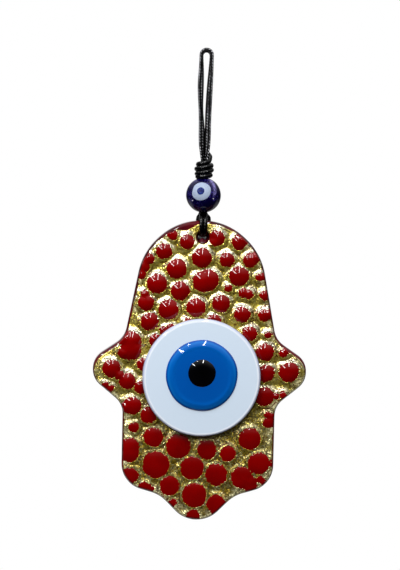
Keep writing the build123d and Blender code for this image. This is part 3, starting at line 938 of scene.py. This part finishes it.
def spread_along(places, step):
    """Places at even steps along a closed line."""
    closed = np.vstack([places, places[:1]])
    run = np.concatenate([[0], np.cumsum(np.linalg.norm(np.diff(closed, axis=0), axis=1))])
    marks = np.linspace(0, run[-1], int(run[-1] / step), endpoint=False)
    return np.column_stack([np.interp(marks, run, closed[:, axis]) for axis in (0, 1)])


def point_tree(places):
    """A search tree over flat places."""
    tree = KDTree(len(places))
    for index, (x, z) in enumerate(places):
        tree.insert((x, 0, z), index)
    tree.balance()
    return tree


def nearest_of(places, tree):
    """Number of the nearest place of a tree to each place, and its distance."""
    near, away = zip(*(tree.find((x, 0, z))[1:] for x, z in places))
    return np.array(near), np.array(away)


def inward_of(places, line):
    """Distance of each place inside a closed line, the direction out, and the line's nearest place."""
    normals = outward_of(line)
    near, away = nearest_of(places, point_tree(line))
    inside = np.sum((line[near] - places) * normals[near], axis=1) >= 0
    return np.where(inside, away, -away), normals[near], near


def outward_of(line):
    """The direction out of a closed line at each of its places."""
    ahead = np.roll(line, -1, axis=0) - np.roll(line, 1, axis=0)
    return np.column_stack([ahead[:, 1], -ahead[:, 0]]) / np.linalg.norm(ahead, axis=1)[:, None]


def away_from(places, centre):
    """Distance of each place from a point."""
    return np.hypot(places[:, 0] - centre[0], places[:, 1] - centre[1])


def wavy(places, size, layer):
    """Smooth noise at flat places, from -1 to 1."""
    return np.array([noise.noise(Vector((x / size, z / size, layer))) for x, z in places])


def circle_places(centre, radius, step):
    """Places at even steps round a circle."""
    count = int(2 * math.pi * radius / step)
    angles = np.linspace(0, 2 * math.pi, count, endpoint=False)
    return np.column_stack([centre[0] + radius * np.cos(angles), centre[1] + radius * np.sin(angles)])


def front_grid(outline):
    """Places and triangles that cover the leaf's area, with the hole and the eye left open."""
    outward = outward_of(outline)
    inset = RIM_SHOWN + RIM_TOP_EXTRA * outward[:, 1] + RIM_UNEVEN * wavy(outline, *RIM_WAVE)
    patch = np.exp(-((outline[:, 0] - RIM_PATCH_X) / RIM_PATCH_WIDTH) ** 2)
    inset += RIM_PATCH * np.maximum(outward[:, 1], 0) * patch
    inset = np.maximum(inset, RIM_LEAST)
    every = max(1, round(GRID / LINE_SPACING))
    edge = (outline - outward * inset[:, None])[::every]
    loops = [edge, circle_places(HOLE, HOLE_CLEAR, GRID), circle_places(EYE, EYE_COVER, GRID)]
    rows = []
    row_step = GRID * math.sqrt(3) / 2
    for number in range(int((hand_high.z - hand_low.z) / row_step)):
        xs = np.arange(hand_low.x + GRID / 2 * (number % 2), hand_high.x, GRID)
        rows.append(np.column_stack([xs, np.full(len(xs), hand_low.z + number * row_step)]))
    inner = np.vstack(rows)
    inner = inner[away_from(inner, HOLE) > HOLE_CLEAR + GRID_MARGIN]
    inner = inner[away_from(inner, EYE) > EYE_COVER + GRID_MARGIN]
    depth, _, near = inward_of(inner, outline)
    inner = inner[depth > inset[near] + GRID_MARGIN]
    places = [Vector(place) for place in np.vstack([*loops, inner])]
    edges, first = [], 0
    for loop in loops:
        edges += [(first + k, first + (k + 1) % len(loop)) for k in range(len(loop))]
        first += len(loop)
    found, _, triangles = delaunay_2d_cdt(places, edges, [], 1, CUT_TOLERANCE)[:3]
    found = np.array([tuple(place) for place in found])
    triangles = np.array([tuple(t) for t in triangles])
    middle = found[triangles].mean(axis=1)
    is_open = (away_from(middle, HOLE) < HOLE_CLEAR) | (away_from(middle, EYE) < EYE_COVER)
    return found, triangles[~is_open]


def drop_edges(outline):
    """Places along the drops' outlines, the drop of each, and the drops' middles."""
    shape = welded("glass_drops")
    owner = {}
    for seed in shape.verts:
        if seed in owner:
            continue
        number = len(set(owner.values()))
        waiting = [seed]
        while waiting:
            vertex = waiting.pop()
            if vertex not in owner:
                owner[vertex] = number
                waiting += [edge.other_vert(vertex) for edge in vertex.link_edges]
    places, owners = [], []
    for edge in shape.edges:
        bases = [face for face in edge.link_faces
                 if abs(face.calc_center_median().y - leaf_low.y) < WELD]
        if len(bases) != 1:
            continue
        first, second = (vertex.co for vertex in edge.verts)
        steps = max(1, math.ceil((second - first).length / LINE_SPACING))
        for step in range(steps):
            point = first.lerp(second, step / steps)
            places.append((point.x, point.z))
            owners.append(owner[edge.verts[0]])
    shape.free()
    places, owners = np.array(places), np.array(owners)
    depth, _, _ = inward_of(places, outline)
    free = depth > LEAF_INSET + LINE_SPACING
    free &= away_from(places, EYE) > PAD_RADIUS + 2 * LINE_SPACING
    middles = np.array([places[owners == number].mean(axis=0) for number in range(owners.max() + 1)])
    return places[free], owners[free], middles


def drop_field(places, depth, outward, outline):
    """Distance of each place outside the nearest drop, that drop's number, and all drops' middles."""
    mesh = frame["nodes"]["glass_drops"].data
    solid = BVHTree.FromPolygons([v.co for v in mesh.vertices], [tuple(p.vertices) for p in mesh.polygons])
    edge_places, owners, middles = drop_edges(outline)
    pulled = places - outward * np.maximum(LEAF_INSET + LINE_SPACING - depth, 0)[:, None]
    near, away = nearest_of(pulled, point_tree(edge_places))
    level = leaf_low.y - COVER_LEAST
    start = drops_low.y - MM
    hits = [solid.ray_cast(Vector((x, start, z)), Vector((0, 1, 0)))[0] for x, z in pulled]
    covered = np.array([hit is not None and hit.y < level for hit in hits])
    return np.where(covered, -away, away), owners[near], middles


def smoothed(values, triangles, rounds):
    """Values averaged with their neighbours, several times."""
    pairs = np.vstack([triangles[:, [0, 1]], triangles[:, [1, 2]], triangles[:, [2, 0]]])
    count = np.zeros(len(values))
    np.add.at(count, pairs.ravel(), 1)
    for _ in range(rounds):
        total = np.zeros(len(values))
        np.add.at(total, pairs[:, 0], values[pairs[:, 1]])
        np.add.at(total, pairs[:, 1], values[pairs[:, 0]])
        values = 0.5 * values + 0.5 * total / np.maximum(count, 1)
    return values


def cut_along_zero(triangles, values):
    """Triangles cut where the values pass zero: the cuts, the triangles below and those above."""
    cuts, known, below, above = [], {}, [], []

    def crossing(a, b):
        key = (min(a, b), max(a, b))
        if key not in known:
            known[key] = len(values) + len(cuts)
            cuts.append((key[0], key[1], values[key[0]] / (values[key[0]] - values[key[1]])))
        return known[key]

    for triangle in triangles:
        signs = [values[v] < 0 for v in triangle]
        if all(signs):
            below.append(tuple(triangle))
        elif not any(signs):
            above.append(tuple(triangle))
        else:
            odd = signs.index(True) if sum(signs) == 1 else signs.index(False)
            a, b, c = (int(triangle[(odd + k) % 3]) for k in range(3))
            ab, ac = crossing(a, b), crossing(a, c)
            alone, pair = (below, above) if signs[odd] else (above, below)
            alone.append((a, ab, ac))
            pair.append((ab, b, c))
            pair.append((ab, c, ac))
    return cuts, below, above


def sheet_piece(name, points, faces, fields):
    """A piece from some of the points, thickened inward, with named values on its points."""
    used = sorted({v for face in faces for v in face})
    renamed = {v: k for k, v in enumerate(used)}
    piece = mesh_piece(name, points[used], [tuple(renamed[v] for v in face) for face in faces])
    slope = np.array([vertex.normal.z for vertex in piece.data.vertices])
    for field, values in (("slope", slope), *((field, values[used]) for field, values in fields.items())):
        layer = piece.data.attributes.new(field, "FLOAT", "POINT")
        layer.data.foreach_set("value", values.astype(np.float32))
    thick = piece.modifiers.new("thickness", "SOLIDIFY")
    thick.thickness = SHEET_THICKNESS
    thick.offset = -1
    return piece


def cap_heights(inside, owner):
    """Height of each place on its drop, a round cap as steep at its edge as DROP_SLOPE says."""
    radius = np.zeros(owner.max() + 1)
    np.maximum.at(radius, owner, inside)
    radius = np.maximum(radius[owner], DROP_LEAST)
    slope = math.radians(DROP_SLOPE)
    ball = radius / math.sin(slope)
    reach = np.clip(radius - inside, 0, radius)
    return np.where(inside > 0, np.sqrt(ball ** 2 - reach ** 2) - ball * math.cos(slope), 0.0)


def drop_spikes(places, gap, owner, middles):
    """Noise that runs out from the middle of each drop, for the points along its edge."""
    around = places - middles[owner]
    size = np.linalg.norm(around, axis=1)
    edge = SPIKES_PER_MM * (size - gap) / MM
    around = around / np.maximum(size, SPIKE_MIDDLE)[:, None] * edge[:, None]
    return np.array([noise.noise(Vector((x, z, SPIKE_LAYER * k))) for (x, z), k in zip(around, owner)])


def front_relief(places, triangles, depth, down, gap, owner, spikes):
    """Height of each place over the plate, lower near the hole, under the eye and at the rim."""
    crown = cap_heights(np.maximum(-gap, 0), owner) * np.interp(down, DROP_STATIONS, DROP_CROWNS)
    outside = np.maximum(gap, 0)
    from_hole = np.hypot(places[:, 0], CALM_BELOW * np.minimum(places[:, 1] - HOLE_Z, 0))
    calm = np.clip((from_hole - HOLE_CLEAR) / CALM_REACH, 0, 1)
    calm = CALM_LEAST + (1 - CALM_LEAST) * calm ** 2 * (3 - 2 * calm)
    lift = DROP_LIFT * np.interp(down, DROP_STATIONS, DROP_LIFTS)
    relief = LEAF_VALLEY + calm * lift * np.exp(-(outside / DROP_SKIRT) ** 2) + crown * np.sqrt(calm)
    flow = LEAF_FLOW * np.abs(wavy(places, *FLOW_WAVE)) + LEAF_GRAIN * wavy(places, *GRAIN_WAVE)
    relief += np.clip(outside / VALLEY_EDGE, 0, 1) * flow
    relief += np.exp(-(gap / RIDGE_WIDTH) ** 2) * SPIKE_RIDGE * spikes
    relief = smoothed(relief, triangles, SMOOTH_ROUNDS)
    relief = np.minimum(relief, UNDER_DISC + np.maximum(away_from(places, EYE) - DISC_RADIUS, 0))
    return relief * np.clip((depth - RIM_LEAST) / RIM_FADE, RIM_FADE_LEAST, 1)


def add_front(gold, ruby):
    """The gold relief and the red drops, cut from one surface so that they meet exactly."""
    outline = spread_along(plate_outline(), LINE_SPACING)
    places, triangles = front_grid(outline)
    depth, outward, _ = inward_of(places, outline)
    gap, owner, middles = drop_field(places, depth, outward, outline)
    spikes = drop_spikes(places, gap, owner, middles)
    down = (hand_high.z - places[:, 1]) / (hand_high.z - hand_low.z)
    gap = gap - np.interp(down, SPREAD_STATIONS, DROP_SPREADS)
    relief = front_relief(places, triangles, depth, down, gap, owner, spikes)
    gap = gap + EDGE_WANDER * wavy(places, *WANDER_WAVE)
    contour = gap + SPIKE_DEPTH * spikes
    contour = np.where(np.abs(contour) < CONTOUR_LEAST, CONTOUR_LEAST, contour)
    cuts, red_faces, gold_faces = cut_along_zero(triangles, contour)
    first, second, share = (np.array(column) for column in zip(*cuts))

    def with_cuts(values):
        part = share[:, None] if values.ndim > 1 else share
        return np.concatenate([values, values[first] * (1 - part) + values[second] * part])

    places, depth, outward, relief, gap = (with_cuts(v) for v in (places, depth, outward, relief, gap))
    lean = np.clip((EDGE_ROUND - depth) / EDGE_ROUND, 0, 1)
    level = np.sqrt(1 - lean ** 2)
    sink = EDGE_ROUND * (1 - level)
    flat = places + outward * (lean * relief)[:, None]
    points = np.column_stack([flat[:, 0], hand_low.y + sink - level * relief, flat[:, 1]])
    fields = {"gap": gap / MM, "rim": depth / MM}
    settle(sheet_piece("gold_relief", points, gold_faces, fields), gold, "hand", "gold_leaf")
    settle(sheet_piece("ruby_drops", points, red_faces, fields), ruby, "hand", "glass_drops")


def add_glaze(finish):
    """Glass that has run down into the hole under the strands, dark as painted shade in the hole."""
    verts = []
    steep = 1 + GLAZE_TENT ** 2
    for step in range(GLAZE_STATIONS + 1):
        share = step / GLAZE_STATIONS
        y = hand_low.y + GLAZE_START + share * GLAZE_REACH
        taper = max(0, 1 - (y - hand_low.y) / HOLE_TAPER)
        radius = HOLE_RADIUS + taper * (HOLE_MOUTH - HOLE_RADIUS) + GLAZE_BITE
        level = -GLAZE_TOP - GLAZE_FALL * max(0, 1 - share / GLAZE_FALL_SHARE) ** GLAZE_FALL_POWER
        half = GLAZE_FILL * (math.sqrt(radius ** 2 * steep - level ** 2) + level * GLAZE_TENT) / steep
        xs = [half * (2 * k / GLAZE_ACROSS - 1) for k in range(GLAZE_ACROSS + 1)]
        verts += [(x, y, HOLE_Z + level - GLAZE_TENT * abs(x)) for x in xs]
        verts += [(x, y, HOLE_Z - math.sqrt(max(radius ** 2 - x ** 2, 0)) - GLAZE_SINK) for x in xs[::-1]]
    piece = mesh_piece("hole_shade_glaze", verts, ring_faces(GLAZE_STATIONS + 1, 2 * (GLAZE_ACROSS + 1)))
    wear(piece, finish)
    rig.ride(piece, "hand")
    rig.slot(piece, "hand_plate")


# Eye and bead
def lathe(name, rings, segments, place, wraps=False):
    """A closed piece from rings of (radius, height), with place giving each point."""
    angles = [2 * math.pi * k / segments for k in range(segments)]
    verts = [place(angle, radius, height) for radius, height in rings for angle in angles]
    turned = [face[:1] + face[:0:-1] for face in ring_faces(len(rings), segments, wraps)]
    return mesh_piece(name, verts, turned)


def add_disc(node, name, finish, edge, uneven, dome=0.0, ripple=0.0):
    """A round disc of poured glass with a rounded edge, a slight dome and a ripple inside its edge."""
    low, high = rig.box(node)
    centre = (low + high) / 2
    radius = radius_of(node)
    edge_width, edge_drop, fullness = edge
    rings = []
    for step in range(1, DISC_RINGS + 1):
        share = 1 - (1 - step / DISC_RINGS) ** 2
        over = max(0, 1 - radius * (1 - share) / edge_width)
        height = high.y - low.y + dome * (1 - share ** 2) - edge_drop * (1 - (1 - over ** 2) ** fullness)
        height += ripple * math.exp(-((share - RIPPLE_PLACE) / RIPPLE_WIDTH) ** 2)
        rings.append((radius * share, height))
    rings.append((radius, 0.5 * rings[-1][1]))
    rings.append((radius * DISC_FOOT, 0.0))

    def place(angle, reach, height):
        across, up = math.cos(angle), math.sin(angle)
        drift = noise.noise(Vector((DISC_WAVES * across, DISC_WAVES * up, edge_width / MM)))
        reach = reach * (1 + uneven * drift)
        return Vector((centre.x + reach * across, high.y - height, centre.z + reach * up))

    settle(lathe(name, rings, DISC_SEGMENTS, place), finish, "hand", node)


def add_bead(finish):
    """The bead: a sphere with a bore whose lips are rounded."""
    centre = (bead_low + bead_high) / 2
    centre.z = BEAD_MIDDLE.z
    half = math.asin((BORE_RADIUS + BORE_LIP) / BEAD_RADIUS)
    rings = []
    for step in range(BEAD_RINGS + 1):
        polar = half + (math.pi - 2 * half) * step / BEAD_RINGS
        rings.append((BEAD_RADIUS * math.sin(polar), BEAD_RADIUS * math.cos(polar)))
    mouth = rings[-1][1]
    lip_radius, lip_height = BORE_RADIUS + BORE_LIP * LIP_OUT, mouth + BORE_LIP * LIP_UP
    rings += [(lip_radius, lip_height), (BORE_RADIUS, mouth + BORE_LIP),
              (BORE_RADIUS, -mouth - BORE_LIP), (lip_radius, -lip_height)]

    def place(angle, radius, height):
        way = Vector((radius * math.cos(angle), radius * math.sin(angle), height))
        share = min(1, radius / (2 * BORE_RADIUS) - 0.5)
        return centre + way * (1 + BEAD_UNEVEN * noise.noise(way / BEAD_SWELL) * share)

    settle(lathe("bead_glass", rings, BEAD_SEGMENTS, place, wraps=True), finish, "bead", "bead_body")


def eye_direction(number):
    """The way from the bead's middle to the middle of one of its eyes."""
    return direction(BEAD_EYE_TURN + 360 * number / BEAD_EYE_COUNT, BEAD_EYE_RISE)


def add_bead_eyes(name, node, width, lift, uneven, finish):
    """Caps of glass let into the bead, evenly round it."""
    verts, faces = [], []
    for number in range(BEAD_EYE_COUNT):
        out = eye_direction(number)
        side = out.cross(Vector((0, 0, 1))).normalized()
        up = side.cross(out)
        first = len(verts)
        verts.append(BEAD_MIDDLE + out * (BEAD_RADIUS + lift))
        for ring in range(1, CAP_RINGS + 1):
            share = ring / CAP_RINGS
            reach = BEAD_RADIUS + lift * (1 - share ** CAP_ROUND) - CAP_SINK * share ** CAP_EDGE
            for k in range(CAP_SEGMENTS):
                angle = 2 * math.pi * k / CAP_SEGMENTS
                wave = Vector((CAP_WAVES * math.cos(angle), CAP_WAVES * math.sin(angle), number + width / MM))
                polar = math.asin(width / 2 / BEAD_RADIUS) * share * (1 + uneven * noise.noise(wave))
                across = side * math.cos(angle) + up * math.sin(angle)
                verts.append(BEAD_MIDDLE + (out * math.cos(polar) + across * math.sin(polar)) * reach)
        verts.append(BEAD_MIDDLE + out * (BEAD_RADIUS * math.cos(polar) - CAP_DEPTH))
        last = len(verts) - 1
        for k in range(CAP_SEGMENTS):
            after = (k + 1) % CAP_SEGMENTS
            faces.append((first, first + 1 + after, first + 1 + k))
            for ring in range(CAP_RINGS - 1):
                a = first + 1 + ring * CAP_SEGMENTS
                faces.append((a + k, a + after, a + CAP_SEGMENTS + after, a + CAP_SEGMENTS + k))
            rim = first + 1 + (CAP_RINGS - 1) * CAP_SEGMENTS
            faces.append((rim + k, rim + after, last))
    settle(mesh_piece(name, verts, faces), finish, "bead", node)


# Studio
def add_world():
    """White behind the object, and a soft room that is bright overhead."""
    world = bpy.data.worlds.new("studio")
    bpy.context.scene.world = world
    world.use_nodes = True
    tree = world.node_tree
    ray = source(tree, "ShaderNodeLightPath").outputs
    way = source(tree, "ShaderNodeTexCoord").outputs["Generated"]
    back, height = axis_of(way, "Y"), axis_of(way, "Z")
    under = product(stretch(back, *UNDER_BACK), stretch(height, *UNDER_LEVEL))
    mirrored = maths("MAXIMUM", stretch(back, *BEHIND), under)
    seen = maths("MAXIMUM", ray["Is Camera Ray"], ray["Is Transmission Ray"])
    seen = maths("MAXIMUM", seen, product(ray["Is Glossy Ray"], mirrored))
    room = ramp(maths("MULTIPLY_ADD", height, 0.5, 0.5),
                [(place, (*[ROOM_TOP * level] * 3, 1)) for place, level in ROOM_LEVELS])
    feed(tree.nodes["Background"], "Color", mixed(seen, room, (1, 1, 1, 1)))


def add_lamp(name, side_turn, tilt, size, power):
    """A rectangular lamp, tilted away from the front, its length pointing at the front."""
    turn, tilt = math.radians(side_turn), math.radians(tilt)
    out = Vector((math.sin(tilt) * math.sin(turn), -math.cos(tilt), math.sin(tilt) * math.cos(turn)))
    along = Vector((math.cos(tilt) * math.sin(turn), math.sin(tilt), math.cos(tilt) * math.cos(turn)))
    light = bpy.data.lights.new(name, "AREA")
    light.shape = "RECTANGLE"
    light.size, light.size_y = size
    light.energy = power
    aim = Vector((EYE[0], 0, LAMP_AIM))
    stand(name, light, aim + out * LAMP_DISTANCE, (along.cross(out), along, out))


def add_floor():
    """A plain pale floor under the hanging object."""
    ring = [Vector((FLOOR_RADIUS * math.cos(a), FLOOR_RADIUS * math.sin(a), hand_low.z - FLOOR_DROP))
            for a in np.linspace(0, 2 * math.pi, FLOOR_SIDES, endpoint=False)]
    floor = mesh_piece("floor", ring, [tuple(range(FLOOR_SIDES))])
    made, tree, shader = new_material("pale_floor", {"Roughness": 0.8})
    feed(shader, "Base Color", ramp(cloud(place_of(tree), FLOOR_CLOUD), FLOOR_TONES))
    wear(floor, made)
    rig.stage(floor)


# Scene
add_camera()
bpy.context.scene.view_settings.view_transform = "Standard"
add_world()
for lamp in LAMPS:
    add_lamp(*lamp)
add_floor()

black_cord = cord_material()
add_loop("loop_front", FRONT_ROUND_ROUTE, -STRAND / MM, "loop_cord_front", black_cord)
add_loop("loop_back", BACK_ROUND_ROUTE, STRAND / MM, "loop_cord_back", black_cord)
add_knot(black_cord)
add_core(black_cord)
add_sling("sling_left", -1, "sling_cord_left", black_cord)
add_sling("sling_right", 1, "sling_cord_right", black_cord)

wear(frame["nodes"]["hand_plate"], plate_material())
# The glaze's dark tone is painted shade in the hole
add_glaze(plain_glass("hole_shade_glaze", GLAZE_SHADE_TONES, roughness=0.35))
add_front(gold_material(), drop_material())
wear(frame["nodes"]["eye_pad"], plain_glass("cement", CEMENT_TONES, roughness=0.5))

white_glass = disc_material("white_glass", "eye_white", WHITE_RINGS_WITH_HIGHLIGHT, roughness=0.07, index=1.5, mottle=0.01)
add_disc("eye_white", "eye_white_glass", white_glass, edge=(0.9 * MM, 0.9 * MM, 0.5), uneven=0.005)
blue_glass = disc_material("blue_glass", "eye_blue", BLUE_RINGS_WITH_HIGHLIGHT, roughness=0.05, index=1.5, mottle=0.04)
add_disc("eye_blue", "eye_blue_glass", blue_glass, edge=(2.2 * MM, 0.9 * MM, 0.8), uneven=0.012,
         dome=0.4 * MM, ripple=0.09 * MM)
black_glass = disc_material("black_glass", "eye_pupil", BLACK_RINGS, roughness=0.04, index=1.45, mottle=0.3)
add_disc("eye_pupil", "eye_pupil_glass", black_glass, edge=(2.9 * MM, 0.9 * MM, 0.6), uneven=0.02,
         dome=0.1 * MM)

add_bead(bead_material())
add_bead_eyes("bead_white_glass", "bead_eye_whites", BEAD_EYE_WIDTH, lift=0.06 * MM, uneven=0.05,
              finish=plain_glass("bead_white", BEAD_WHITE_TONES, roughness=0.3, size=0.6 * MM, index=1.2))
add_bead_eyes("bead_pupil_glass", "bead_eye_pupils", BEAD_PUPIL_WIDTH, lift=0.2 * MM, uneven=0.12,
              finish=plain_glass("bead_pupil", BEAD_PUPIL_TONES, roughness=0.3, size=0.7 * MM, index=1.2))

visual_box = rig.bounds()
with open("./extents.json", "w") as size_file:
    json.dump({"cad": [list(corner) for corner in cad_box],
               "visual": [list(corner) for corner in visual_box]}, size_file)
